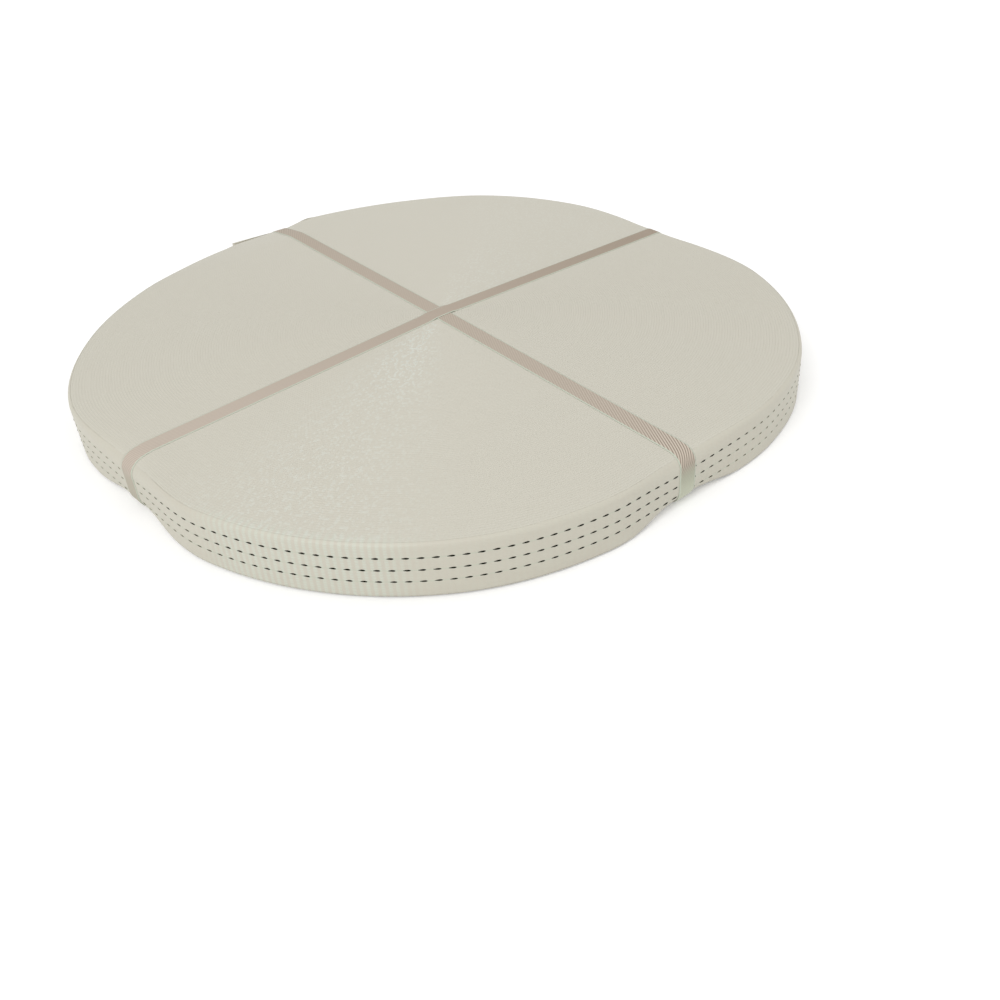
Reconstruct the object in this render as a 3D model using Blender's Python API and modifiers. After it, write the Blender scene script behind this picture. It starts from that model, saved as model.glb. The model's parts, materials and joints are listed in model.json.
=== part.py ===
# Flat roll of woven polyester strapping, wound on itself without a core and held by two crossed ties.
# Metres, +Z up. The roll lies on one end, and the ties cross on its axis, above and below.
import math

import bmesh
import bpy

# The strap, and the turned roll that it is wound into
strap_width = 0.032
strap_thickness = 0.00155
roll_radius = 0.225
bore_radius = 0.005
edge_round = 0.001

# Rings that show the turns on both ends, each groove standing for several turns
groove_count = 11
groove_width = 0.0009
groove_depth = 0.0006

# The ties: flat woven tape, laid round the roll
tie_width = 0.012
tie_thickness = 0.0008
seat_gap = 0.0003

# Directions in which the four tie ends go down the rim, in degrees counter-clockwise from +X
outer_back_direction = 40.8
inner_back_direction = 131.5
outer_front_direction = 226.9
inner_front_direction = 310.8

# How far outside the mean radius each tie holds the rim; below zero, it pulls the rim in
outer_back_rim = -0.0165
inner_back_rim = 0.0025
outer_front_rim = -0.0056
inner_front_rim = -0.0005

# The rim between the ties: share of the way to the next tie, and distance outside the mean radius
back_rim = [(0.25, -0.0044), (0.5, 0.0027), (0.7, -0.0003), (0.92, -0.0012)]
left_rim = [(0.22, -0.0034), (0.52, 0.0013), (0.78, 0.0029)]
front_rim = [(0.2, 0.0042), (0.6, 0.0114), (0.85, 0.0066)]
right_rim = [(0.2, 0.0086), (0.37, 0.0125), (0.7, 0.0032)]

# Shoulder that each tie presses into the upper face: how far in it starts, how deep it is at the rim,
# and how round the upper edge is there
outer_back_reach = 0.006
outer_back_sink = 0.0003
outer_back_round = 0.004
inner_back_reach = 0.035
inner_back_sink = 0.005
inner_back_round = 0.004
outer_front_reach = 0.014
outer_front_sink = 0.0025
outer_front_round = 0.008
inner_front_reach = 0.012
inner_front_sink = 0.0012
inner_front_round = 0.007
sink_power = 1.25

# Lower edge under the ties, and how far the pressed edges fade out beside a tie, in degrees
foot_round = 0.006
edge_run = 10.0
bulge_run = 5.0
tail_run = 26.0

# Where the ties cross: the level stretch beside the other tie, and the ramp down from it
crossing_margin = 0.001
crossing_ramp = 0.011
crossing_turn = 0.015

# The loose outer end of the strap, measured from the middle of the tie that holds it
tail_length = 0.045
tail_gap = 0.0023
tail_end_angle = 0.1

column_step = 5.6
cutter_margin = 0.002
point_spacing = 0.002
shoulder_points = 10

tie_half = tie_width / 2
held_half = tie_half + crossing_margin
roll_base = tie_thickness + seat_gap
half_height = strap_width / 2
roll_middle = roll_base + half_height
roll_top = roll_base + strap_width
crossing_lift = tie_thickness + seat_gap


def smooth(x):
    x = min(max(x, 0.0), 1.0)
    return x * x * (3 - 2 * x)


def smooth_curve(marks, at):
    # Value of a smooth curve through the marks, level at both ends
    slopes = [0.0]
    for (a, low), (_, _), (b, high) in zip(marks, marks[1:], marks[2:]):
        slopes.append((high - low) / (b - a))
    slopes.append(0.0)
    at = min(max(at, 0.0), 1.0)
    k = max(k for k in range(len(marks) - 1) if marks[k][0] <= at)
    (start, low), (end, high) = marks[k], marks[k + 1]
    span = end - start
    t = (at - start) / span
    rise = smooth(t)
    bend = t * (1 - t) * span * (slopes[k] * (1 - t) - slopes[k + 1] * t)
    return low + (high - low) * rise + bend


def tie_end(direction, rim, reach, sink, upper_round, run_before, run_after, tail):
    # One place where a tie goes down the rim, in degrees and metres. The strap lies straight there from one edge
    # of the tie to the other, or to the end of the loose tail.
    waist = roll_radius + rim
    flat = math.degrees(math.atan2(held_half, waist))
    return {
        "direction": direction,
        "waist": waist,
        "reach": reach,
        "sink": sink,
        "round": upper_round,
        "runs": (run_before, run_after),
        "flat": flat,
        "held": math.degrees(math.atan2(tail, waist)) if tail else flat,
        "parting": (strap_thickness + tail_gap) / (tail - held_half) if tail else 0.0,
    }


# Tie ends in order round the roll, with the rim between each and the next
outer_back = tie_end(outer_back_direction, outer_back_rim, outer_back_reach, outer_back_sink, outer_back_round,
                     edge_run, edge_run, 0)
inner_back = tie_end(inner_back_direction, inner_back_rim, inner_back_reach, inner_back_sink, inner_back_round,
                     bulge_run, tail_run, tail_length)
outer_front = tie_end(outer_front_direction, outer_front_rim, outer_front_reach, outer_front_sink,
                      outer_front_round, edge_run, edge_run, 0)
inner_front = tie_end(inner_front_direction, inner_front_rim, inner_front_reach, inner_front_sink,
                      inner_front_round, edge_run, edge_run, 0)
tie_ends = [outer_back, inner_back, outer_front, inner_front]
quarters = [back_rim, left_rim, front_rim, right_rim]
widest_round = max(foot_round, *(end["round"] for end in tie_ends))


def angle_past(angle, end):
    # Degrees from a tie end to an angle, from -180 to 180
    return (angle - end["direction"] + 180) % 360 - 180


def crossing_rise(distance):
    # Height that a tie, or the roll's face, gives way where the ties cross
    return crossing_lift * (1 - smooth((abs(distance) - held_half) / crossing_ramp))


def body_radius(end, off):
    # Rim of the roll past a tie's middle, without the loose tail, which it falls away from
    parting = end["parting"] if off > end["flat"] else 0.0
    turn = math.radians(off)
    return (end["waist"] + parting * held_half) / (math.cos(turn) + parting * math.sin(turn))


def free_rim(angle):
    # Rim between two tie ends
    for i, end in enumerate(tie_ends):
        following = tie_ends[(i + 1) % len(tie_ends)]
        span = (following["direction"] - end["direction"]) % 360
        along = (angle - end["direction"]) % 360
        if along < span:
            break
    start = body_radius(end, end["held"])
    finish = body_radius(following, -following["flat"])
    marks = [(0.0, start)] + [(share, roll_radius + out) for share, out in quarters[i]] + [(1.0, finish)]
    return smooth_curve(marks, (along - end["held"]) / (span - end["held"] - following["flat"]))


def rim_radii(angle):
    # Radius of the outside, straight under each tie and along the tail, and of the roll without the tail
    for end in tie_ends:
        off = angle_past(angle, end)
        if -end["flat"] - 1e-6 <= off <= end["held"] + 1e-6:
            return end["waist"] / math.cos(math.radians(off)), body_radius(end, off)
    free = free_rim(angle)
    return free, free


def pressed_edges(angle):
    # Reach and depth of the sunk face, and roundness of the upper and lower edge, as a tie leaves them
    reach, sink, upper, lower = strap_width, 0.0, edge_round, edge_round
    for end in tie_ends:
        off = angle_past(angle, end)
        beside = -off - end["flat"] if off < 0 else off - end["held"]
        run = end["runs"][0] if off < 0 else end["runs"][1]
        if beside < run:
            reach = end["reach"]
            sink = end["sink"] * (1 - smooth(beside / run))
        if beside < edge_run:
            share = 1 - smooth(beside / edge_run)
            loose = end["flat"] + 1e-6 < off < end["held"] + 1e-6
            upper = edge_round if loose else edge_round + (end["round"] - edge_round) * share
            lower = edge_round + (foot_round - edge_round) * share
    return reach, sink, upper, lower


def sunk(inset, height, reach, sink):
    # Height above the roll's middle, after the face has given way towards the rim
    if height <= 0 or inset >= reach:
        return height
    return height - sink * (1 - max(inset, 0.0) / reach) ** sink_power * height / half_height


def column_angles():
    # Columns of the roll: one at each side of every tie and of the tail's end, and even steps between them
    marks = []
    for end in tie_ends:
        marks += [end["direction"] - end["flat"], end["direction"] + end["flat"]]
    tail_end = inner_back["direction"] + inner_back["held"]
    marks = sorted(marks + [tail_end, tail_end + tail_end_angle])
    angles = []
    for low, high in zip(marks, marks[1:] + [marks[0] + 360]):
        count = max(1, round((high - low) / column_step))
        angles += [low + (high - low) * k / count for k in range(count)]
    return angles


def end_rings(pressed):
    # Points of one end face from the bore out to the rim: distance from the axis and depth below the face
    pitch = (roll_radius - bore_radius) / (groove_count + 1)
    rings = [(bore_radius, 0.0)]
    if pressed:
        rings += [(held_half + crossing_ramp * k / 4, 0.0) for k in range(5)]
    for k in range(1, groove_count + 1):
        middle = bore_radius + pitch * k
        rings += [(middle - groove_width / 2, 0.0), (middle, groove_depth), (middle + groove_width / 2, 0.0)]
    last_band = pitch - groove_width / 2
    rings += [(roll_radius - last_band * k / 4, 0.0) for k in (3, 2, 1)]
    rings += [(roll_radius - edge_round, 0.0), (roll_radius, 0.0)]
    return rings


def roll_profile():
    # Closed section of the roll: out along the top, down the rim, in along the underside
    top = [(r, roll_top - depth) for r, depth in end_rings(False)]
    rim_steps = [edge_round, widest_round / 2, widest_round, half_height]
    rim = [(roll_radius, roll_top - step) for step in rim_steps]
    rim += [(roll_radius, roll_base + step) for step in reversed(rim_steps[:-1])]
    base = [(r, roll_base + depth) for r, depth in reversed(end_rings(True))]
    return top + rim + base


def settled(angle, radius, z):
    # Where a point of the turned roll goes once the ties are pulled tight
    edge, body = rim_radii(angle)
    outermost = radius > roll_radius - strap_thickness
    far = radius / roll_radius
    radius *= 1 + (body / roll_radius - 1) * far * far
    if outermost:
        radius += edge - body
    reach, sink, upper, lower = pressed_edges(angle)
    above = z > roll_middle
    corner = upper if above else lower
    out = radius - (edge - corner)
    height = abs(z - roll_middle)
    up = height - (half_height - corner)
    length = math.hypot(out, up) / corner
    if out > 0 and up > 0 and length > 1:
        radius = edge - corner + out / length
        height = half_height - corner + up / length
    if above:
        z = roll_middle + sunk(body - radius, height, reach, sink)
    else:
        z = roll_middle - height + crossing_rise(radius)
    turn = math.radians(angle)
    return radius * math.cos(turn), radius * math.sin(turn), z


def new_object(name, mesh, collection):
    obj = bpy.data.objects.new(name, mesh)
    collection.objects.link(obj)
    return obj


def evaluated_mesh(obj):
    # The object's mesh with its modifiers done, in place of the object
    bpy.context.view_layer.update()
    mesh = bpy.data.meshes.new_from_object(obj.evaluated_get(bpy.context.evaluated_depsgraph_get()))
    bpy.data.objects.remove(obj)
    return mesh


def fabric(name, color, roughness):
    material = bpy.data.materials.new(name)
    material.use_nodes = True
    shader = material.node_tree.nodes["Principled BSDF"]
    shader.inputs["Base Color"].default_value = color
    shader.inputs["Roughness"].default_value = roughness
    shader.inputs["Metallic"].default_value = 0.0
    return material


def turned_roll(columns, collection):
    profile = roll_profile()
    mesh = bpy.data.meshes.new("roll_profile")
    edges = [(i, (i + 1) % len(profile)) for i in range(len(profile))]
    mesh.from_pydata([(r, 0, z) for r, z in profile], edges, [])
    turned = new_object("turned", mesh, collection)
    screw = turned.modifiers.new("turn", "SCREW")
    screw.axis = "Z"
    screw.angle = math.tau
    screw.steps = columns
    screw.render_steps = columns
    screw.use_merge_vertices = True
    screw.merge_threshold = 0.00001
    return evaluated_mesh(turned)


def tighten(mesh, angles):
    # The turned roll takes the shape that the tight ties give it
    step = math.tau / len(angles)
    for vertex in mesh.vertices:
        x, y, z = vertex.co
        column = round(math.atan2(y, x) / step) % len(angles)
        vertex.co = settled(angles[column], math.hypot(x, y), z)


def tail_slit(collection):
    # Wedge of air behind the tail, from the edge of the tie out to the tail's end
    inner = inner_back["waist"] - strap_thickness
    mouth = tail_length + cutter_margin
    plan = [(inner, held_half), (inner - tail_gap, tail_length), (inner - tail_gap, mouth), (inner, mouth)]
    bm = bmesh.new()
    lower = [bm.verts.new((x, y, roll_base - cutter_margin)) for x, y in plan]
    face = bm.faces.new(lower)
    wall = bmesh.ops.extrude_face_region(bm, geom=[face])
    raised = [v for v in wall["geom"] if isinstance(v, bmesh.types.BMVert)]
    bmesh.ops.translate(bm, verts=raised, vec=(0, 0, strap_width + 2 * cutter_margin))
    bmesh.ops.recalc_face_normals(bm, faces=bm.faces)
    mesh = bpy.data.meshes.new("tail_slit")
    bm.to_mesh(mesh)
    bm.free()
    slit = new_object("tail_slit", mesh, collection)
    slit.rotation_euler.z = math.radians(inner_back["direction"])
    slit.hide_render = True
    slit.display_type = "WIRE"
    return slit


def strap_roll(parts, cutters, material):
    angles = column_angles()
    mesh = turned_roll(len(angles), parts)
    tighten(mesh, angles)
    mesh.materials.append(material)
    roll = new_object("strap_roll", mesh, parts)
    cut = roll.modifiers.new("tail_slit", "BOOLEAN")
    cut.operation = "DIFFERENCE"
    cut.solver = "EXACT"
    cut.object = tail_slit(cutters)
    return roll


def spaced(start, end):
    count = max(1, math.ceil(abs(end - start) / point_spacing))
    return [start + (end - start) * k / count for k in range(count)]


def over_edge(end, upper):
    # Inner face of a tie round one edge of the roll, from the end face out to the rim: distance from the axis
    # and height above or below the roll's middle
    radius = end["round"] if upper else foot_round
    corner = end["waist"] - radius
    points = []
    if upper:
        points += [(s, half_height + seat_gap) for s in spaced(end["waist"] - end["reach"], corner)]
    for k in range(shoulder_points + 1):
        turn = math.pi / 2 * k / shoulder_points
        out = corner + (radius + seat_gap) * math.sin(turn)
        up = half_height - radius + (radius + seat_gap) * math.cos(turn)
        points.append((out, up))
    if upper:
        points = [(s, sunk(end["waist"] - s, up, end["reach"], end["sink"])) for s, up in points]
    return points


def tie_loop(back, front, over, under):
    # Inner face of a closed tie as distance along it and height: over the top, down the back rim,
    # along the underside and up the front rim. It follows the roll's own edges at the seat gap.
    bend = held_half + crossing_ramp
    level = half_height + seat_gap
    points = [(s, level + over * crossing_rise(s)) for s in spaced(-bend, bend)]
    points.append((bend, level))
    points += over_edge(back, True)
    points += [(s, -z) for s, z in reversed(over_edge(back, False))]
    points += [(s, -level + under * crossing_rise(s)) for s in spaced(bend, -bend)]
    points.append((-bend, -level))
    points += [(-s, -z) for s, z in over_edge(front, False)]
    points += [(-s, z) for s, z in reversed(over_edge(front, True))]
    return [(s, roll_middle + z) for s, z in points]


def laid(along, across, back, front):
    # Plan place of a point of a tie whose two halves leave the crossing in slightly different directions
    half_turn = (back["direction"] - (front["direction"] - 180)) / 2
    middle = back["direction"] - half_turn
    turn = math.radians(middle + half_turn * max(-1.0, min(1.0, along / crossing_turn)))
    return (along * math.cos(turn) - across * math.sin(turn), along * math.sin(turn) + across * math.cos(turn))


def tie(name, back, front, over, under, collection, material):
    loop = tie_loop(back, front, over, under)
    verts = []
    for along, z in loop:
        for across in (-tie_half, tie_half):
            x, y = laid(along, across, back, front)
            verts.append((x, y, z))
    faces = []
    for k in range(len(loop)):
        n = (k + 1) % len(loop)
        faces.append((2 * k, 2 * n, 2 * n + 1, 2 * k + 1))
    mesh = bpy.data.meshes.new(name)
    mesh.from_pydata(verts, [], faces)
    mesh.materials.append(material)
    band = new_object(name, mesh, collection)
    tape = band.modifiers.new("tape", "SOLIDIFY")
    tape.thickness = tie_thickness
    tape.offset = 1.0
    tape.use_even_offset = True
    return band


def build():
    for obj in list(bpy.data.objects):
        bpy.data.objects.remove(obj)
    parts = bpy.data.collections.new("woven_strapping_roll")
    cutters = bpy.data.collections.new("cutters")
    for collection in (parts, cutters):
        bpy.context.scene.collection.children.link(collection)
    woven = fabric("woven_polyester", (0.62, 0.59, 0.50, 1.0), 0.6)
    tape = fabric("tape_polyester", (0.48, 0.41, 0.33, 1.0), 0.7)
    strap_roll(parts, cutters, woven)
    tie("inner_tie", inner_back, inner_front, 0, 1, parts, tape)
    tie("outer_tie", outer_back, outer_front, 1, 0, parts, tape)


build()
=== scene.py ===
import json
import math

import bpy
import numpy as np
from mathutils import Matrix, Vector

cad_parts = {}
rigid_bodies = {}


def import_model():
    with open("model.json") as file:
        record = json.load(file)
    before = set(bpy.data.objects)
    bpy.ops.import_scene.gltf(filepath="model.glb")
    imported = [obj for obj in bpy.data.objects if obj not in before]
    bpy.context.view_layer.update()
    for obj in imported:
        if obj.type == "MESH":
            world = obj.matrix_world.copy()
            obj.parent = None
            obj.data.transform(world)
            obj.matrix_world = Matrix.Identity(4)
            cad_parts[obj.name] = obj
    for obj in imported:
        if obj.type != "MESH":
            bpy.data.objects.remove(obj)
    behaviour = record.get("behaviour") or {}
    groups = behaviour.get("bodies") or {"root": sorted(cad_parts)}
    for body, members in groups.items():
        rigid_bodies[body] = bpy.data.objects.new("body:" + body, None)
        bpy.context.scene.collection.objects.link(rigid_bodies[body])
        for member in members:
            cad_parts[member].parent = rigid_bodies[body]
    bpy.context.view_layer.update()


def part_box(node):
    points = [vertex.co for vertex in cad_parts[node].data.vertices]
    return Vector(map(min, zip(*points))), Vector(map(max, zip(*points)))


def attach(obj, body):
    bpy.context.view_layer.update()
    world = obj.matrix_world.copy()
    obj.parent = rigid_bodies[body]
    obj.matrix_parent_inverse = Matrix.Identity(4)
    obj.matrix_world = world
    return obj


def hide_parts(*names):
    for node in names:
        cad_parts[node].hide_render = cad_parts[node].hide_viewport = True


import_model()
rollLow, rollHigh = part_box("strap_roll")

# The strap: one length wound from the bore outwards, counter-clockwise seen from above
strap = {
    "thickness": 0.00155,
    "radius": 0.225,
    "bore": 0.005,
    "softEdge": 0.003,  # the upper edge of the rim, where no tie presses it
    "turns": 142,
    "sinkPower": 1.25,  # how sharply the face sinks towards a tie
    "edgeRun": 10.0,  # degrees over which the pressed edges fade out beside a tie
    "tail": 0.04,  # from the middle of its tie to the strap's outer end
    "tailGap": 0.0023,  # how far its end stands off the turn below; the doubled end fills it
    "slot": "woven_strap",
}

# Outermost turn, with its ribs and its three rows of marker thread
rim = {
    "ribsToMark": 2,  # ribs for each mark along the strap
    "ribColumns": 6,
    "ribDepth": 0.00008,
    "pathPoints": 4000,  # at which the length along it is measured
    "ribFacing": 259.0,  # the ribs' relief and painted sheen stand out most in this direction
    "ribSpread": (9.0, 16.0),  # degrees from there between which they fade
    "ribRest": 0.12,
    "rows": (0.0, 0.3, 0.5, 0.62, 0.73, 0.83, 0.92),  # shares of the half width
    "innerRows": (0.83, 0.5, -0.5, -0.83),  # the same, on its inner face
    "edgePoints": 5,
    "edgeDrop": 0.00022,  # how far the edge rounds off
}
marks = {
    "heights": (0.0094, 0.0164, 0.0237),  # above the roll's foot
    "pitch": 0.0071,  # along the strap
    "one": 270.2,  # direction of one of them
    "length": 0.0038,
    "width": 0.00135,
    "facing": 279.0,
    # Degrees from there, share of the width, and share of the length; the smaller a mark, the more painted
    # sheen it takes
    "sizes": ((-180, 0.6, 0.8), (-88, 0.4, 0.8), (-56, 0.45, 0.9), (-46, 0.68, 0.95), (-34, 1.0, 1.0),
              (36, 1.0, 1.0), (50, 0.68, 0.72), (88, 0.55, 0.62), (180, 0.6, 0.8)),
    "rows": ((8.0, 0.9), (4.0, 0.95), (0.0, 1.0)),  # of each row: degrees that it shrinks and takes painted sheen sooner, and share
    "proud": 0.00022,
    "columns": 8,
    "outline": ((-1.0, 0.22), (-0.5, 0.62), (0.1, 1.0), (0.6, 1.0), (1.0, 0.35)),  # share of length and width
    "section": ((-1, -0.4), (-0.5, 0.75), (0.5, 0.75), (1, -0.4)),  # share of half width, and how proud
}

# The ties: flat woven tape with slanted ribs
tape = {
    "width": 0.012,
    "thickness": 0.0004,
    "seat": 0.00004,
    "dent": 0.0011,  # how far the tie beneath is pressed into the roll's foot, where they cross
    "edgeThickness": 0.3,  # share of the thickness left at its two edges
    "margin": 0.001,  # level stretch beside the other tie, where they cross
    "ramp": 0.011,  # length of the slope on each side of the lower crossing
    "upperRamp": 0.004,  # the same for the upper one
    "turnRun": 0.015,  # distance from the axis over which a tie turns towards its other end
    "ribPitch": 0.00327,  # along the tape
    "ribSlant": 26.0,
    "ribColumns": 6,
    # Distance from the rim, and how strongly the ribs get painted shade in their valleys and painted
    # highlight on their crests, most near the bends
    "ribShading": ((0.0, 1.0), (0.012, 1.0), (0.03, 0.6), (0.05, 0.42), (0.085, 0.25), (0.14, 0.18)),
    "ribDepth": 0.00009,
    "columns": 16,
    "spacing": 0.002,
    "shoulderPoints": 10,
    "feeler": 0.0004,  # how far to each side the direction of its path is felt
    "slot": "tie_tape",
}

# The four places where a tie goes down the rim: direction in degrees, how far outside the mean radius it
# holds the rim, the shoulder that it presses into the upper face, how far the flat of the strap is drawn
# down, and how strongly the tie's ribs get painted shade and highlight
tieEnds = [
    {"direction": 40.8, "rim": -0.0165, "reach": 0.006, "sink": 0.0003, "round": 0.004, "runs": (10.0, 10.0),
     "foot": 0.006, "drawn": 0.0015, "drawnRuns": (20.0, 20.0), "ribShading": 0.35},
    {"direction": 131.5, "rim": 0.0025, "reach": 0.035, "sink": 0.005, "round": 0.004, "runs": (5.0, 26.0),
     "foot": 0.006, "drawn": 0.0015, "drawnRuns": (20.0, 20.0), "ribShading": 0.35},
    {"direction": 226.9, "rim": -0.0056, "reach": 0.014, "sink": 0.0025, "round": 0.008, "runs": (10.0, 10.0),
     "foot": 0.008, "drawn": 0.0022, "drawnRuns": (30.0, 13.0), "ribShading": 0.3},
    {"direction": 310.8, "rim": -0.0005, "reach": 0.012, "sink": 0.0012, "round": 0.007, "runs": (10.0, 10.0),
     "foot": 0.010, "drawn": 0.0021, "drawnRuns": (8.0, 26.0), "ribShading": 1.0},
]
outerBack, innerBack, outerFront, innerFront = tieEnds

# The rim between each tie end and the next: share of the way, and distance outside the mean radius
rimBetween = [
    [(0.25, -0.0044), (0.5, 0.0027), (0.7, -0.0003), (0.92, -0.0012)],
    [(0.22, -0.0034), (0.52, 0.0013), (0.78, 0.0029)],
    [(0.2, 0.0042), (0.6, 0.0114), (0.85, 0.0066)],
    [(0.2, 0.0086), (0.37, 0.0125), (0.7, 0.0032)],
]

tapeHalf = tape["width"] / 2
heldHalf = tapeHalf + tape["margin"]
strapWidth = rollHigh.z - rollLow.z
halfWidth = strapWidth / 2
rollMiddle = rollLow.z + halfWidth
crossingLift = tape["thickness"] + tape["seat"]
footGap = rollLow.z - tape["thickness"]  # the ties' lower runs lie on the floor
pitch = (strap["radius"] - strap["bore"]) / strap["turns"]
ribPitch = marks["pitch"] / rim["ribsToMark"]

for end in tieEnds:
    end["waist"] = strap["radius"] + end["rim"]
    end["flat"] = math.degrees(math.atan2(heldHalf, end["waist"]))
    end["held"] = end["flat"]
innerBack["held"] = math.degrees(math.atan2(strap["tail"], innerBack["waist"]))
strapEnd = innerBack["direction"] + innerBack["held"]  # direction of the strap's outer end
underTie = innerBack["direction"]  # where the outermost turn goes in under the tie
hair = 1e-6  # degrees
edgeFade = 5  # relief fades out over the last fifth of a band's half width


def smooth(x):
    x = min(max(x, 0.0), 1.0)
    return x * x * (3 - 2 * x)


def besideEdge(share):
    # From 1 on the flat of a band to 0 at its edge
    return min(1.0, (1 - abs(share)) * edgeFade)


def smoothCurve(stations, at):
    slopes = [0.0]
    for (a, low), _, (b, high) in zip(stations, stations[1:], stations[2:]):
        slopes.append((high - low) / (b - a))
    slopes.append(0.0)
    at = min(max(at, 0.0), 1.0)
    k = max(k for k in range(len(stations) - 1) if stations[k][0] <= at)
    (start, low), (finish, high) = stations[k], stations[k + 1]
    span = finish - start
    t = (at - start) / span
    return low + (high - low) * smooth(t) + t * (1 - t) * span * (slopes[k] * (1 - t) - slopes[k + 1] * t)


def anglePast(angle, end):
    return (angle - end["direction"] + 180) % 360 - 180


def spiralRadius(past):
    # Outside of the round spiral, so many degrees in from the strap's outer end
    return strap["radius"] - pitch * past / 360


def pulled(nominal, pull):
    # Where the ties' pull puts a point of the round spiral
    return nominal * (1 + pull * (nominal / strap["radius"]) ** 2)


def pastTail():
    # Rim just past the strap's outer end: the turn below it, which stays in line with itself
    body = innerBack["waist"] / math.cos(math.radians(innerBack["held"])) - strap["tailGap"]
    return pulled(strap["radius"] - pitch, body / strap["radius"] - 1)


def freeRim(angle):
    for i, end in enumerate(tieEnds):
        following = tieEnds[(i + 1) % len(tieEnds)]
        span = (following["direction"] - end["direction"]) % 360
        along = (angle - end["direction"]) % 360
        if along < span:
            break
    start = pastTail() if end is innerBack else end["waist"] / math.cos(math.radians(end["flat"]))
    finish = following["waist"] / math.cos(math.radians(following["flat"]))
    stations = [(0.0, start)] + [(share, strap["radius"] + out) for share, out in rimBetween[i]]
    stations.append((1.0, finish))
    return smoothCurve(stations, (along - end["held"]) / (span - end["held"] - following["flat"]))


def rimRadius(angle):
    # Outside of the outermost turn, straight under each tie and along the tail
    for end in tieEnds:
        off = anglePast(angle, end)
        if -end["flat"] - hair <= off <= end["held"] + hair:
            return end["waist"] / math.cos(math.radians(off))
    return freeRim(angle)


def tailParting(angle):
    # Gap between the tail and the turn below it
    off = anglePast(angle, innerBack)
    if not innerBack["flat"] < off <= innerBack["held"] + hair:
        return 0.0
    share = math.tan(math.radians(off)) * innerBack["waist"] - heldHalf
    return strap["tailGap"] * share / (strap["tail"] - heldHalf)


def pressedEdges(angle):
    # Reach and depth of the sunk face, and radius of the upper and lower shoulder
    reach, sink, upper, lower = strapWidth, 0.0, strap["softEdge"], 0.0
    for end in tieEnds:
        off = anglePast(angle, end)
        beside = -off - end["flat"] if off < 0 else off - end["held"]
        run = end["runs"][0] if off < 0 else end["runs"][1]
        if beside < run:
            reach = end["reach"]
            sink = end["sink"] * (1 - smooth(beside / run))
        if beside < strap["edgeRun"]:
            share = 1 - smooth(beside / strap["edgeRun"])
            upper += (end["round"] - strap["softEdge"]) * share
            lower = end["foot"] * share
    return reach, sink, upper, lower


def drawnDown(angle, width):
    # The ties draw the middle of the strap down, while its edges keep their places
    total = 0.0
    for end in tieEnds:
        off = anglePast(angle, end)
        run = end["drawnRuns"][0] if off < 0 else end["drawnRuns"][1]
        total += end["drawn"] * (1 - smooth((abs(off) - end["flat"]) / run))
    return width - total * (1 - smooth(2 * abs(width) / halfWidth - 1))


def rimPath():
    # Length of the outermost turn up to each of many directions, from one of the marks
    angles = np.linspace(underTie - 360, strapEnd, rim["pathPoints"])
    radii = np.array([rimRadius(angle) if angle > strapEnd - 360 else pastTail() for angle in angles])
    turns = np.radians(angles)
    steps = np.hypot(np.diff(radii * np.cos(turns)), np.diff(radii * np.sin(turns)))
    lengths = np.concatenate([[0.0], np.cumsum(steps)])
    return angles, lengths - np.interp(marks["one"] - 360, angles, lengths)


def sunk(inset, height, reach, sink):
    if height <= 0 or inset >= reach:
        return height
    return height - sink * (1 - max(inset, 0.0) / reach) ** strap["sinkPower"] * height / halfWidth


def crossingShare(distance, ramp):
    return 1 - smooth((abs(distance) - heldHalf) / ramp)


def ribShare(angle):
    # How clearly the ribs show in one direction, in relief and as painted sheen
    off = abs((angle - rim["ribFacing"] + 180) % 360 - 180)
    near, far = rim["ribSpread"]
    return 1 - (1 - rim["ribRest"]) * smooth((off - near) / (far - near))


def leanAngle(corner):
    # How far the outermost turn's edge leans in over a pressed shoulder; a free edge stands upright
    return corner / (corner + strap["thickness"])


def shoulder(inset, corner):
    # Where the edge of a turn lies that far in from the rim: near it, the edge leans in over the shoulder
    if inset >= corner:
        return inset, halfWidth
    inset += (1 - math.cos(leanAngle(corner))) * (corner - inset)
    return inset, halfWidth - corner + math.sqrt(corner * corner - (corner - inset) ** 2)


class Wrap:
    # State of the roll in one direction: its outline, and how its edges are pressed
    def __init__(self, angle):
        self.angle = angle
        self.turn = math.radians(angle)
        self.outside = rimRadius(angle)
        self.body = self.outside - tailParting(angle)
        self.reach, self.sink, self.upper, self.lower = pressedEdges(angle)
        past = (strapEnd - angle + hair) % 360 - hair
        nominal = spiralRadius(past)
        self.pull = (self.body / nominal - 1) * (strap["radius"] / nominal) ** 2

    def edge(self, radius, upper):
        # Upper or lower edge of a turn
        inset, height = shoulder(max(self.body - radius, 0.0), self.upper if upper else self.lower)
        if upper:
            return self.body - inset, rollMiddle + sunk(inset, height, self.reach, self.sink)
        return self.body - inset, rollMiddle - height + tape["dent"] * crossingShare(radius, tape["ramp"])

    def place(self, radius, z):
        return radius * math.cos(self.turn), radius * math.sin(self.turn), z


def newPiece(name, verts, faces, material, titles=(), rows=()):
    # Each row holds one vertex's values, in the order of the titles
    mesh = bpy.data.meshes.new(name)
    mesh.from_pydata(verts, [], faces)
    for title, values in zip(titles, zip(*rows)):
        layer = mesh.attributes.new(title, "FLOAT", "POINT")
        layer.data.foreach_set("value", values)
    mesh.materials.append(material)
    piece = bpy.data.objects.new(name, mesh)
    bpy.context.scene.collection.objects.link(piece)
    mesh.shade_smooth()
    return piece


def sweptFaces(rows, size, base=0, closed=False):
    # Faces between rings of points that follow each other, with a cap on each end or closed on itself
    faces = []
    for row in range(rows if closed else rows - 1):
        here = base + row * size
        after = base + (row + 1) % rows * size
        for k in range(size):
            n = (k + 1) % size
            faces.append((here + k, after + k, after + n, here + n))
    if not closed:
        last = base + (rows - 1) * size
        faces.append(tuple(range(base, base + size)))
        faces.append(tuple(reversed(range(last, last + size))))
    return faces


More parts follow.
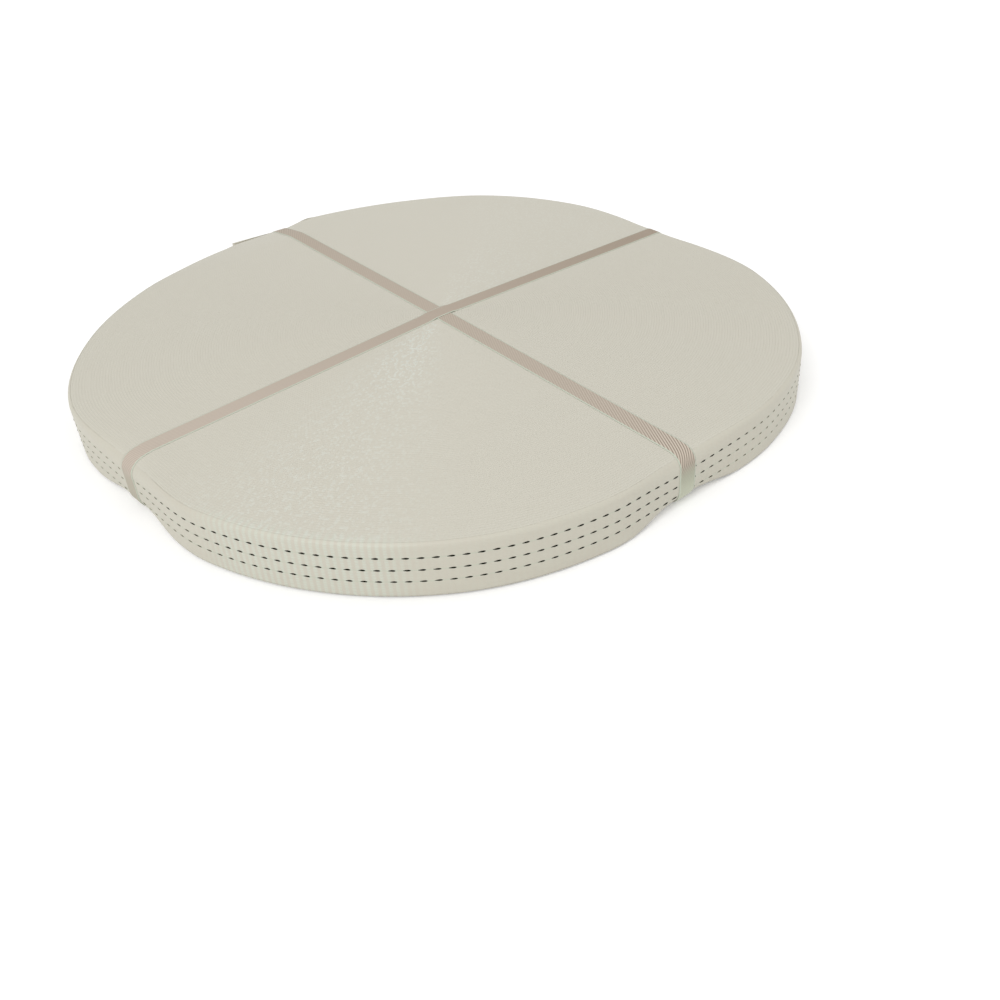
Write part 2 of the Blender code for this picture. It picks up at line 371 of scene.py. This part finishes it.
# Shader maths: a wrapped socket that adds its nodes as it is used
class Wire:
    def __init__(self, tree, socket=None):
        self.tree = tree
        self.socket = socket

    def node(self, kind, settings=None, inputs=None, output=0):
        made = self.tree.nodes.new(kind)
        for name, value in (settings or {}).items():
            setattr(made, name, value)
        for name, value in (inputs or {}).items():
            if isinstance(value, Wire):
                self.tree.links.new(value.socket, made.inputs[name])
            else:
                made.inputs[name].default_value = value
        return Wire(self.tree, made.outputs[output])

    def maths(self, operation, first, second=0.0):
        return self.node("ShaderNodeMath", {"operation": operation}, {0: first, 1: second})

    def __add__(self, other):
        return self.maths("ADD", self, other)

    def __radd__(self, other):
        return self.maths("ADD", other, self)

    def __sub__(self, other):
        return self.maths("SUBTRACT", self, other)

    def __rsub__(self, other):
        return self.maths("SUBTRACT", other, self)

    def __mul__(self, other):
        return self.maths("MULTIPLY", self, other)

    def __rmul__(self, other):
        return self.maths("MULTIPLY", other, self)

    def __truediv__(self, other):
        return self.maths("DIVIDE", self, other)

    def __rtruediv__(self, other):
        return self.maths("DIVIDE", other, self)

    def wave(self):
        # From 0 to 1 and back once in every whole number
        return 0.5 - self.maths("COSINE", self * math.tau) * 0.5

    def stretched(self, low, high):
        settings = {"interpolation_type": "SMOOTHSTEP"}
        return self.node("ShaderNodeMapRange", settings, {"Value": self, "From Min": low, "From Max": high})

    def mixed(self, first, second):
        # The wire chooses between two colours
        settings = {"data_type": "RGBA"}
        return self.node("ShaderNodeMix", settings, {0: self, 6: first, 7: second}, 2)

    def bump(self, strength, distance):
        inputs = {"Height": self, "Strength": strength, "Distance": distance}
        return self.node("ShaderNodeBump", None, inputs)


def newMaterial(name, roughness, settings):
    material = bpy.data.materials.new(name)
    material.use_nodes = True
    shader = material.node_tree.nodes["Principled BSDF"]
    shader.inputs["Roughness"].default_value = roughness
    for title, value in settings.items():
        shader.inputs[title].default_value = value
    return material, shader, Wire(material.node_tree)


def connect(wire, shader, title):
    wire.tree.links.new(wire.socket, shader.inputs[title])


def attributes(wires, *names):
    return [wires.node("ShaderNodeAttribute", {"attribute_name": name}, None, "Fac") for name in names]


def grain(wires, places, scales, detail=1.0, shift=0.0):
    # Noise over the piece's own coordinates, each with its own scale
    axes = {"X": 0.0, "Y": 0.0, "Z": shift}
    for axis, place, scale in zip("XYZ", places, scales):
        axes[axis] = place * scale
    vector = wires.node("ShaderNodeCombineXYZ", None, axes)
    return wires.node("ShaderNodeTexNoise", None, {"Vector": vector, "Scale": 1.0, "Detail": detail})


edgeFinish = {
    "dark": (0.575, 0.548, 0.462, 1.0),
    "light": (0.618, 0.595, 0.512, 1.0),
    # Painted glint: the pale colour of specks of reflected light on the loops
    "glint": (0.70, 0.75, 0.69, 1.0),
    "loopPitch": 0.0024,
    "loopSlant": 0.6,
    # Scales of each grain along the strap, from turn to turn, and across a turn
    "patches": (60.0, 0.7),
    "fibres": (700.0, 3.1, 2.0),
    "sparkle": (560.0, 7.3),
    "sparkleShift": 7.0,  # keeps it apart from the other grains
    "sparkleRange": (0.5, 0.7),
    "toneShares": (0.25, 0.45, 0.3),  # of the loops, the patches and the fibres
    "ribShare": 0.8,
    "glintShare": 0.5,
    "glintGloss": 0.2,
    "roughness": 0.45,
    "anisotropy": 0.6,
    "relief": (0.5, 0.15),  # of the loops and the fibres
    "bump": (0.14, 0.00015),
}


def edgeMaterial():
    # Folded edge of the strap: a row of slanted weft loops, with painted glints and the rim's ribs in painted
    # sheen
    finish = edgeFinish
    settings = {"Anisotropic": finish["anisotropy"]}
    material, shader, wires = newMaterial("strap_edge", finish["roughness"], settings)
    names = ("along", "across", "turn", "rib", "ribbed", "glinting")
    along, across, turn, rib, ribbed, glinting = attributes(wires, *names)
    loops = (along / finish["loopPitch"] + across * finish["loopSlant"]).wave()
    patches = grain(wires, (along, turn), finish["patches"], detail=2.0)
    fibres = grain(wires, (along, turn, across), finish["fibres"])
    sparkle = grain(wires, (along, turn), finish["sparkle"], 0.0, finish["sparkleShift"])
    # Painted glints: pale specks, placed by direction round the roll
    glints = sparkle.stretched(*finish["sparkleRange"]) * glinting
    ofLoops, ofPatches, ofFibres = finish["toneShares"]
    tone = loops * ofLoops + patches * ofPatches + fibres * ofFibres
    colour = tone.mixed(finish["dark"], finish["light"])
    # The rim's rib stripes reach onto the edges, paler as painted sheen
    colour = (ribMask(rib, ribbed) * finish["ribShare"]).mixed(colour, rimFinish["light"])
    # The painted glints turn the colour pale
    colour = (glints * finish["glintShare"]).mixed(colour, finish["glint"])
    connect(colour, shader, "Base Color")
    connect(finish["roughness"] - glints * finish["glintGloss"], shader, "Roughness")
    ofLoops, ofFibres = finish["relief"]
    relief = loops * ofLoops + fibres * ofFibres
    connect(relief.bump(*finish["bump"]), shader, "Normal")
    return material


rimFinish = {
    "base": (0.582, 0.555, 0.465, 1.0),
    # Paler colour of the rib stripes: the weave's pattern, with painted sheen
    "light": (0.60, 0.62, 0.53, 1.0),
    "warm": (0.577, 0.543, 0.455, 1.0),
    "warmRange": (0.3, 0.7),
    "line": (0.525, 0.548, 0.445, 1.0),  # along each row of marks
    "lineWidth": 0.0006,
    "lineCore": 0.3,
    "lineShare": 0.7,
    "yarnPitch": 0.00163,
    "ribEdges": (0.15, 0.85),
    # Scales of each grain along the strap and across it
    "patches": (40.0, 150.0),
    "fibres": (1200.0, 2500.0),
    "ribLight": (0.4, 0.6),  # between the yarns, and what they add
    "fibreLight": 0.1,
    "yarnRelief": (0.3, 0.7),  # between the ribs, and what they add
    "fibreRelief": 0.3,
    "roughness": 0.5,
    "bump": (0.3, 0.00012),
}


def ribMask(rib, ribbed):
    # From 0 between the ribs to 1 on them, as clearly as they show there
    return rib.wave().stretched(*rimFinish["ribEdges"]) * ribbed


def rimMaterial():
    # Flat of the strap: warp yarns along it, ribbed by the weft
    finish = rimFinish
    material, shader, wires = newMaterial("strap_flat", finish["roughness"], {})
    along, across, rib, ribbed = attributes(wires, "along", "across", "rib", "ribbed")
    yarns = (across / finish["yarnPitch"]).wave()
    ribs = ribMask(rib, ribbed)
    patches = grain(wires, (along, across), finish["patches"], detail=2.0)
    fibres = grain(wires, (along, across), finish["fibres"])
    colour = patches.stretched(*finish["warmRange"]).mixed(finish["base"], finish["warm"])
    least, more = finish["ribLight"]
    # The rib stripes are the weave's pattern, paler as painted sheen where they show most
    paler = ribs * (least + yarns * more) + fibres * finish["fibreLight"]
    colour = paler.mixed(colour, finish["light"])
    nearLine = None
    for height in marks["heights"]:
        away = wires.maths("ABSOLUTE", across - (height - halfWidth))
        near = 1 - away.stretched(finish["lineWidth"] * finish["lineCore"], finish["lineWidth"])
        nearLine = near if nearLine is None else nearLine + near
    colour = (nearLine * finish["lineShare"]).mixed(colour, finish["line"])
    connect(colour, shader, "Base Color")
    least, more = finish["yarnRelief"]
    relief = yarns * (least + ribs * more) + fibres * finish["fibreRelief"]
    connect(relief.bump(*finish["bump"]), shader, "Normal")
    return material


markFinish = {
    "dark": (0.006, 0.006, 0.003, 1.0),
    "pale": (0.03, 0.031, 0.017, 1.0),
    # Painted sheen: the paler olive that the thread takes away from its facing direction
    "paintedSheen": (0.16, 0.165, 0.095, 1.0),
    "sheenRange": (0.0, 0.5),
    "strands": (500.0, 6000.0),  # scales of the grain along the strap and across it
    "strandRange": (0.4, 0.8),
    "roughness": 0.75,
    "specular": 0.15,
}


def markMaterial():
    finish = markFinish
    settings = {"Specular IOR Level": finish["specular"]}
    material, shader, wires = newMaterial("marker_thread", finish["roughness"], settings)
    along, across, paintedSheen = attributes(wires, "along", "across", "paintedSheen")
    strands = grain(wires, (along, across), finish["strands"])
    colour = strands.stretched(*finish["strandRange"]).mixed(finish["dark"], finish["pale"])
    # Painted sheen pales the marks that are made smaller
    colour = paintedSheen.stretched(*finish["sheenRange"]).mixed(colour, finish["paintedSheen"])
    connect(colour, shader, "Base Color")
    return material


tapeFinish = {
    # Painted shade in the rib valleys, and painted highlight on the rib crests
    "valley": (0.17, 0.12, 0.085, 1.0),
    "crest": (0.74, 0.65, 0.54, 1.0),
    # Heights between which a run down the rim turns to its second colour, and to that of the level run. The
    # runs' own colours are painted light and shade
    "footRun": (0.003, 0.021),
    "taupeRun": (0.018, 0.0285),
    "crestRun": (0.024, 0.032),  # over these heights the crests of the shaded ribs turn paler, as painted highlight
    "crestShares": (0.3, 0.4),  # below those heights, and what is added above them
    "levelRange": (0.75, 1.0),  # how upright the surface faces where it counts as level
    "valleyShare": 0.8,
    "selvedge": (0.56, 0.605, 0.50, 1.0),
    "selvedgeWidth": 0.0009,
    "selvedgeBlend": 0.4,  # share of that width
    "selvedgeShare": 0.95,
    "threads": (800.0, 2500.0),  # scales of the grain along the tape and across it
    "threadShare": 0.12,
    "threadRelief": 0.6,
    "roughness": 0.62,
    "bump": (0.35, 0.0002),
}
# Colours of each tie: front and back ends above, the back darker as painted shade, and runs down the rim,
# painted light and shade
innerColours = {"front": (0.475, 0.408, 0.333, 1.0), "back": (0.445, 0.378, 0.304, 1.0),
                "foot": (0.60, 0.62, 0.49, 1.0), "side": (0.43, 0.435, 0.335, 1.0)}
outerColours = {"front": (0.54, 0.465, 0.39, 1.0), "back": (0.33, 0.262, 0.195, 1.0),
                "foot": (0.45, 0.42, 0.335, 1.0), "side": (0.45, 0.41, 0.325, 1.0)}


def tapeMaterial(name, colours):
    finish = tapeFinish
    material, shader, wires = newMaterial(name, finish["roughness"], {})
    names = ("along", "across", "crest", "ribShading", "towardsBack")
    along, across, crest, ribShading, towardsBack = attributes(wires, *names)
    threads = grain(wires, (along, across), finish["threads"], detail=2.0)
    # Painted sheen and shade: the tape turns paler towards its front end and darker towards its back end
    colour = towardsBack.mixed(colours["front"], colours["back"])
    # Painted shade darkens the valleys between the ribs
    valley = (1 - crest) * ribShading * finish["valleyShare"] + (threads - 0.5) * finish["threadShare"]
    colour = valley.mixed(colour, finish["valley"])
    # Painted highlight pales the crests of the ribs, more near the top of the roll
    place = wires.node("ShaderNodeNewGeometry", None, None, "Position")
    height = wires.node("ShaderNodeSeparateXYZ", None, {"Vector": place}, "Z")
    least, more = finish["crestShares"]
    paler = least + height.stretched(*finish["crestRun"]) * more
    colour = (crest * ribShading * paler).mixed(colour, finish["crest"])
    # Painted light and shade: where the tape faces sideways down the rim it takes the side and foot colours
    facing = wires.node("ShaderNodeNewGeometry", None, None, "Normal")
    upward = wires.maths("ABSOLUTE", wires.node("ShaderNodeSeparateXYZ", None, {"Vector": facing}, "Z"))
    side = height.stretched(*finish["footRun"]).mixed(colours["foot"], colours["side"])
    high = height.stretched(*finish["taupeRun"])
    level = wires.maths("MAXIMUM", upward.stretched(*finish["levelRange"]), high)
    colour = level.mixed(side, colour)
    width = finish["selvedgeWidth"]
    border = wires.maths("ABSOLUTE", across) - (tapeHalf - width)
    selvedge = border.stretched(0.0, width * finish["selvedgeBlend"]) * finish["selvedgeShare"]
    colour = selvedge.mixed(colour, finish["selvedge"])
    connect(colour, shader, "Base Color")
    connect((threads * finish["threadRelief"]).bump(*finish["bump"]), shader, "Normal")
    return material


def columnAngles(step, start):
    # One full turn counter-clockwise from a direction, with a column at each side of every tie
    special = {0.0, (strapEnd - start) % 360}
    for end in tieEnds:
        for side in (-end["flat"], end["flat"]):
            special.add((end["direction"] + side - start) % 360)
    special = sorted(special) + [360.0]
    angles = []
    for low, high in zip(special, special[1:]):
        count = max(1, round((high - low) / step))
        angles += [low + (high - low) * k / count for k in range(count)]
    return [start + angle for angle in angles] + [start + 360]


def lengthAlong(wound):
    # Length of strap, from the middle of the roll to an unwound angle, on the round spiral
    outer = spiralRadius(strapEnd - wound)
    return math.pi * (outer * outer - strap["bore"] ** 2) / pitch


# Turns as they show on the two end faces
turnEdges = {
    "step": 3.0,  # degrees between columns
    "lowerStep": 4.5,
    # Share of the thickness from its inner side, and height in furrow depths; the last is its outer face
    "section": ((0.0, -1.0), (0.2, -0.12), (0.5, 0.0), (0.8, -0.12), (1.0, -1.0), (1.0, -12.0)),
    "lowerSection": ((0.0, -1.0), (0.3, 0.0), (0.7, 0.0), (1.0, -1.0), (1.0, -12.0)),
    "furrow": 0.0001,
    "tuck": 0.0002,  # how far the last of these turns reaches in under the outermost one
    "ribReach": 0.011,  # how far in from the rim its ribs still show
    # Direction, and how strongly glints are painted on the weave there
    "glints": ((30, 0.0), (50, 0.4), (80, 0.4), (95, 0.0), (236, 0.0), (250, 1.0), (264, 1.0), (280, 0.0)),
    "glintTurns": (60, 110),  # counted in from the rim: here the painted glints grow to their full strength
    "glintLeast": 0.5,
}


def turnsPiece(name, step, section, upper, material):
    wraps = [Wrap(angle) for angle in columnAngles(step, underTie)[:-1]]
    directions, lengths = rimPath()
    for wrap in wraps:
        wrap.rib = float(np.interp(wrap.angle - 360, directions, lengths)) / ribPitch
        # How strongly the ribs' painted sheen and the painted glints show in this direction
        wrap.ribbed = ribShare(wrap.angle)
        wrap.glint = float(np.interp(wrap.angle, *zip(*turnEdges["glints"]), period=360))
    innermost = strapEnd - 360 * (strap["turns"] - 1)
    columns = [(wrap, wrap.angle - 360 * turn) for turn in range(strap["turns"] + 1, 1, -1) for wrap in wraps]
    columns.append((wraps[0], underTie - 360))  # meets the inner end of the outermost turn
    columns = [(wrap, wound) for wrap, wound in columns if wound >= innermost]
    first, full = turnEdges["glintTurns"]
    least = turnEdges["glintLeast"]
    verts, rows = [], []
    for wrap, wound in columns:
        outer = spiralRadius(strapEnd - wound)
        turn = (strapEnd - wound) / 360
        glinting = wrap.glint * (least + (1 - least) * smooth((turn - first) / (full - first)))
        for share, height in section:
            tuck = turnEdges["tuck"] if share == 1 and wound > underTie - 720 else 0.0
            radius, z = wrap.edge(pulled(outer - pitch * (1 - share), wrap.pull) + tuck, upper)
            furrow = height * turnEdges["furrow"]
            verts.append(wrap.place(radius, z + furrow if upper else z - furrow))
            ribbed = wrap.ribbed * (1 - smooth((wrap.body - radius) / turnEdges["ribReach"]))
            rows.append((lengthAlong(wound), share, turn, wrap.rib, ribbed, glinting))
    count = len(section)
    faces = []
    for row in range(len(columns) - 1):
        for k in range(count - 1):
            a = row * count + k
            quad = (a, a + 1, a + count + 1, a + count)
            faces.append(quad if upper else quad[::-1])
    titles = ("along", "across", "turn", "rib", "ribbed", "glinting")
    piece = newPiece(name, verts, faces, material, titles, rows)
    softened = np.ones(len(faces), dtype=bool)
    softened[count - 2::count - 1] = False  # the steep outer side of each turn
    piece.data.polygons.foreach_set("use_smooth", softened)
    return piece


def curled(width, corner, depth=0.0):
    # Where a point of the strap goes, by its place across it from the middle and its depth below the outer
    # face: inset from the rim and height. The strap's edge bends over the rounded corner.
    straight = halfWidth - corner
    if abs(width) <= straight:
        return depth, width
    turn = (abs(width) - straight) / corner * leanAngle(corner)
    inset = corner * (1 - math.cos(turn)) + depth * math.cos(turn)
    return inset, math.copysign(straight + (corner - depth) * math.sin(turn), width)


def strapSection():
    # Points round the strap's section: place across it, share of its thickness below the outer face, and how
    # far its edge rounds off there, or none on a flat
    ring = [(-halfWidth * share, 0.0, None) for share in reversed(rim["rows"][1:])]
    ring += [(halfWidth * share, 0.0, None) for share in rim["rows"]]
    last = rim["edgePoints"] - 1
    for side in (1, -1):
        ring.append((side * (halfWidth - rim["edgeDrop"]), 0.0 if side > 0 else 1.0, None))
        for k in range(1, last + 1):
            turn = math.pi * k / last
            share = 0.5 - side * 0.5 * math.cos(turn)
            drop = rim["edgeDrop"] * (1 - math.sin(turn)) * (1.0 if share < 0.5 else 0.0)
            ring.append((side * halfWidth, share, drop))
        if side > 0:
            ring += [(halfWidth * share, 1.0, None) for share in rim["innerRows"]]
    return ring


def outerTurn(material):
    angles, lengths = rimPath()
    count = round((lengths[-1] - lengths[0]) / ribPitch * rim["ribColumns"])
    ring = strapSection()
    verts, rows = [], []
    for column in range(count + 1):
        reach = lengths[0] + (lengths[-1] - lengths[0]) * column / count
        wound = float(np.interp(reach, lengths, angles))
        wrap = Wrap(wound)
        nominal = spiralRadius(strapEnd - wound)
        under = wound < strapEnd - 360 + hair  # under the tie and the tail
        outer = pulled(nominal, wrap.pull) if under else wrap.outside
        upper, lower = wrap.upper, wrap.lower
        thickness = outer - pulled(nominal - pitch, wrap.pull)
        past = anglePast(wound, innerBack)
        if not under and innerBack["flat"] < past < innerBack["held"] + hair:  # the tail
            thickness = strap["thickness"] + tailParting(wound)
            loose = smooth((past - innerBack["flat"]) / (innerBack["held"] - innerBack["flat"]))
            upper *= 1 - loose
        rib = reach / ribPitch
        shows = ribShare(wound)
        deep = rim["ribDepth"] * shows
        lift = deep * (0.5 - 0.5 * math.cos(math.tau * rib)) - deep / 2
        for width, share, drop in ring:
            if drop is None:
                placed = drawnDown(wound, width)
                inset, height = curled(placed, upper if placed > 0 else lower, share * thickness)
            else:
                inset, height = shoulder(share * thickness, upper if width > 0 else lower)
                height = math.copysign(height - drop, width)
            level = sunk(inset, height, wrap.reach, wrap.sink)
            proud = lift * besideEdge(width / halfWidth) if share == 0 else 0.0
            verts.append(wrap.place(outer - inset + proud, rollMiddle + level))
            rows.append((lengthAlong(wound), width, (strapEnd - wound) / 360, rib, shows))
    faces = sweptFaces(count + 1, len(ring))
    titles = ("along", "across", "turn", "rib", "ribbed")
    piece = newPiece("outer_turn", verts, faces, material, titles, rows)
    softened = [share < 1.0 or after < 1.0 for (_, share, _), (_, after, _) in zip(ring, ring[1:] + ring[:1])]
    piece.data.polygons.foreach_set("use_smooth", softened * count + [False, False])
    return piece


def markerThreads(material):
    # Raised floats of the dark thread, in three rows round the outermost turn
    verts, faces, rows = [], [], []
    angles, lengths = rimPath()
    first = math.ceil(np.interp(strapEnd - 360, angles, lengths) / marks["pitch"]) + 1
    stop = math.floor(lengths[-1] / marks["pitch"])
    offs, widths, spans = zip(*marks["sizes"])
    for level, (sooner, rowSize) in zip(marks["heights"], marks["rows"]):
        for k in range(first, stop):
            place = k * marks["pitch"]
            off = (float(np.interp(place, lengths, angles)) - marks["facing"] + 180) % 360 - 180
            off += math.copysign(sooner, off)
            size = float(np.interp(off, offs, widths))
            halfLong = marks["length"] / 2 * float(np.interp(off, offs, spans))
            halfHigh = marks["width"] / 2 * rowSize * size
            faces += sweptFaces(marks["columns"] + 1, len(marks["section"]), len(verts))
            for c in range(marks["columns"] + 1):
                t = 2 * c / marks["columns"] - 1
                here = Wrap(float(np.interp(place + halfLong * t, lengths, angles)))
                high = halfHigh * float(np.interp(t, *zip(*marks["outline"])))
                lift = marks["proud"] * (1 - t * t)
                width = drawnDown(here.angle, level - halfWidth)
                inset, height = curled(width, here.upper if width > 0 else here.lower)
                z = rollMiddle + sunk(inset, height, here.reach, here.sink)
                for side, rise in marks["section"]:
                    verts.append(here.place(here.outside - inset + lift * rise, z + side * high))
                    # The smaller the mark, the more painted sheen
                    rows.append((place + halfLong * t, side * high, 1 - size))
    titles = ("along", "across", "paintedSheen")
    return newPiece("marker_threads", verts, faces, material, titles, rows)


def spaced(start, finish):
    count = max(1, math.ceil(abs(finish - start) / tape["spacing"]))
    return [start + (finish - start) * k / count for k in range(count)]


def overEdge(end, upper):
    # Path of a tie round one edge of the roll: distance from the axis and height from the roll's middle
    radius = end["round"] if upper else end["foot"]
    corner = end["waist"] - radius
    points = []
    if upper:
        points += [(s, halfWidth + tape["seat"]) for s in spaced(end["waist"] - end["reach"], corner)]
    for k in range(tape["shoulderPoints"] + 1):
        share = k / tape["shoulderPoints"]
        turn = math.pi / 2 * share
        gap = tape["seat"] if upper else footGap + (tape["seat"] - footGap) * smooth(share)
        reach = radius + gap
        points.append((corner + reach * math.sin(turn), halfWidth - radius + reach * math.cos(turn)))
    if upper:
        points = [(s, sunk(end["waist"] - s, up, end["reach"], end["sink"])) for s, up in points]
    return points


def tieLoop(back, front, over, under):
    # Path of one tie round the roll: distance from the axis towards its back end, and height
    bend = heldHalf + tape["ramp"]
    level = halfWidth + tape["seat"]
    foot = halfWidth + footGap
    lift = over * crossingLift
    dent = under * tape["dent"]
    points = [(s, level + lift * crossingShare(s, tape["upperRamp"])) for s in spaced(-bend, bend)]
    points.append((bend, level))
    points += overEdge(back, True)
    points += [(s, -z) for s, z in reversed(overEdge(back, False))]
    points += [(s, -foot + dent * crossingShare(s, tape["ramp"])) for s in spaced(bend, -bend)]
    points.append((-bend, -foot))
    points += [(-s, -z) for s, z in overEdge(front, False)]
    points += [(-s, z) for s, z in reversed(overEdge(front, True))]
    return [(s, rollMiddle + z) for s, z in points]


def tiePiece(name, back, front, over, under, material):
    loop = np.array(tieLoop(back, front, over, under))
    closed = np.vstack([loop, loop[:1]])
    reach = np.concatenate([[0.0], np.cumsum(np.linalg.norm(np.diff(closed, axis=0), axis=1))])
    total = reach[-1]
    ribs = round(total / tape["ribPitch"])
    lines = ribs * tape["ribColumns"]
    halfTurn = (back["direction"] - (front["direction"] - 180)) / 2
    middle = back["direction"] - halfTurn

    def pathAt(length):
        # Place on the loop and the direction away from the roll
        places = []
        for at in (length - tape["feeler"], length, length + tape["feeler"]):
            places.append([np.interp(at % total, reach, closed[:, axis]) for axis in (0, 1)])
        (a, b), (s, z), (c, d) = places
        size = math.hypot(c - a, d - b)
        return s, z, -(d - b) / size, (c - a) / size

    shares = [2 * k / tape["columns"] - 1 for k in range(tape["columns"] + 1)]
    ring = [(share, 1.0) for share in shares] + [(share, 0.0) for share in reversed(shares)]
    slant = -1 / math.tan(math.radians(tape["ribSlant"]))
    thin = tape["edgeThickness"]
    verts, rows = [], []
    for line in range(lines):
        phase = line / tape["ribColumns"]
        crest = 0.5 - 0.5 * math.cos(math.tau * phase)
        for share, face in ring:
            side = share * tapeHalf
            length = phase * total / ribs + side * slant
            s, z, outS, outZ = pathAt(length)
            edge = besideEdge(share)
            body = tape["thickness"] * (thin + (1 - thin) * smooth(edge))
            depth = face * (body - tape["ribDepth"] * (1 - crest) * edge)
            s += outS * depth
            z += outZ * depth
            turn = math.radians(middle + halfTurn * max(-1.0, min(1.0, s / tape["turnRun"])))
            x = s * math.cos(turn) - side * math.sin(turn)
            y = s * math.sin(turn) + side * math.cos(turn)
            verts.append((x, y, z))
            end = back if s > 0 else front
            ribShading = end["ribShading"] * float(np.interp(end["waist"] - abs(s), *zip(*tape["ribShading"])))
            rows.append((length, side, crest * face, ribShading, 0.5 + 0.5 * s / end["waist"]))
    faces = sweptFaces(lines, len(ring), closed=True)
    titles = ("along", "across", "crest", "ribShading", "towardsBack")
    return newPiece(name, verts, faces, material, titles, rows)


floorFinish = {
    "reach": 4.0,
    "colour": (0.92, 0.92, 0.92, 1.0),
    "roughness": 0.9,
    "glow": (0.18, 0.2),  # near the roll, and what is added far from it
    "glowRange": (0.3, 1.2),  # distances from the roll's axis between which it is added
}


def paleFloor():
    reach = floorFinish["reach"]
    verts = [(-reach, -reach, 0), (reach, -reach, 0), (reach, reach, 0), (-reach, reach, 0)]
    material, shader, wires = newMaterial("pale_floor", floorFinish["roughness"], {"Specular IOR Level": 0.0})
    shader.inputs["Base Color"].default_value = floorFinish["colour"]
    seen = wires.node("ShaderNodeLightPath", None, None, "Is Camera Ray")
    mirrored = wires.node("ShaderNodeLightPath", None, None, "Is Glossy Ray")
    shown = wires.maths("MAXIMUM", seen, mirrored)
    place = wires.node("ShaderNodeTexCoord", None, None, "Object")
    distance = wires.node("ShaderNodeVectorMath", {"operation": "LENGTH"}, {0: place}, "Value")
    least, more = floorFinish["glow"]
    glow = shown * (least + distance.stretched(*floorFinish["glowRange"]) * more)
    white = wires.node("ShaderNodeEmission", None, {"Color": (1.0, 1.0, 1.0, 1.0), "Strength": glow})
    both = wires.node("ShaderNodeAddShader", None, {0: Wire(wires.tree, shader.outputs[0]), 1: white})
    output = wires.tree.nodes["Material Output"]
    wires.tree.links.new(both.socket, output.inputs["Surface"])
    floor = newPiece("floor", verts, [(0, 1, 2, 3)], material)


lights = {
    "world": 0.787,
    "lamps": [
        # Name, place, size, power
        ("key", (-0.55, -1.3, 1.5), 1.0, 11.0),
        ("fill", (1.5, 0.6, 1.6), 1.4, 4.0),
    ],
}


def studioLight():
    scene = bpy.context.scene
    world = bpy.data.worlds.new("studio")
    scene.world = world
    world.use_nodes = True
    wires = Wire(world.node_tree)
    path = wires.node("ShaderNodeLightPath", None, None, "Is Camera Ray")
    strength = path * (1.0 - lights["world"]) + lights["world"]
    back = world.node_tree.nodes["Background"]
    back.inputs["Color"].default_value = (1.0, 1.0, 1.0, 1.0)
    world.node_tree.links.new(strength.socket, back.inputs["Strength"])
    for name, place, size, power in lights["lamps"]:
        lamp = bpy.data.lights.new(name, "AREA")
        lamp.shape = "DISK"
        lamp.size = size
        lamp.energy = power
        holder = bpy.data.objects.new(name, lamp)
        scene.collection.objects.link(holder)
        holder.location = place
        x, y, z = place
        holder.rotation_euler = (math.atan2(math.hypot(x, y), z), 0, math.atan2(y, x) + math.pi / 2)
    scene.view_settings.view_transform = "Standard"


# Camera in metres from the middle of the roll's foot, found from the outline and the rows of marks
view = {
    "elevation": 32.283,
    "roll": -1.558,
    "distance": 0.6458,
    "side": 0.0852,
    "rise": -0.0310,
    "aim": (0.0026, -0.0065, 0.0011),
    "focal": 949.23,  # pixels of the frame
    "middle": (571.67, 404.76),
    "frame": 1000,
    "sensor": 36.0,
}


def addCamera():
    # Seen from the front, from above, with the frame's own tilt
    data = bpy.data.cameras.new("camera")
    data.sensor_width = view["sensor"]
    data.lens = view["focal"] / view["frame"] * view["sensor"]
    data.shift_x = (view["frame"] / 2 - view["middle"][0]) / view["frame"]
    data.shift_y = (view["middle"][1] - view["frame"] / 2) / view["frame"]
    camera = bpy.data.objects.new("camera", data)
    bpy.context.scene.collection.objects.link(camera)
    e, r = math.radians(view["elevation"]), math.radians(view["roll"])
    back = np.array([0.0, -math.cos(e), math.sin(e)])
    right = np.array([1.0, 0.0, 0.0])
    up = np.array([0.0, math.sin(e), math.cos(e)])
    tiltedRight = math.cos(r) * right + math.sin(r) * up
    tiltedUp = -math.sin(r) * right + math.cos(r) * up
    place = back * view["distance"] + tiltedRight * view["side"] + tiltedUp * view["rise"]
    camera.location = place + np.array(view["aim"])
    camera.rotation_mode = "ZYX"
    camera.rotation_euler = (math.pi / 2 - e, 0.0, r)
    bpy.context.scene.camera = camera


def dress(piece, node):
    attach(piece, "root")
    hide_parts(node)


addCamera()
paleFloor()
studioLight()
print("camera, floor and light done")

edge = edgeMaterial()
rollPieces = [
    turnsPiece("upper_turns", turnEdges["step"], turnEdges["section"], True, edge),
    turnsPiece("lower_turns", turnEdges["lowerStep"], turnEdges["lowerSection"], False, edge),
    outerTurn(rimMaterial()),
    markerThreads(markMaterial()),
]
for piece in rollPieces:
    dress(piece, "strap_roll")
print("roll wound")

innerWeave = tapeMaterial("inner_tape_weave", innerColours)
outerWeave = tapeMaterial("outer_tape_weave", outerColours)
dress(tiePiece("inner_tape", innerBack, innerFront, 0, 1, innerWeave), "inner_tie")
dress(tiePiece("outer_tape", outerBack, outerFront, 1, 0, outerWeave), "outer_tie")
print("ties laid")

for piece in bpy.context.scene.objects:
    if piece.type == "MESH" and not piece.hide_render:
        print(piece.name, sum(len(face.vertices) - 2 for face in piece.data.polygons))
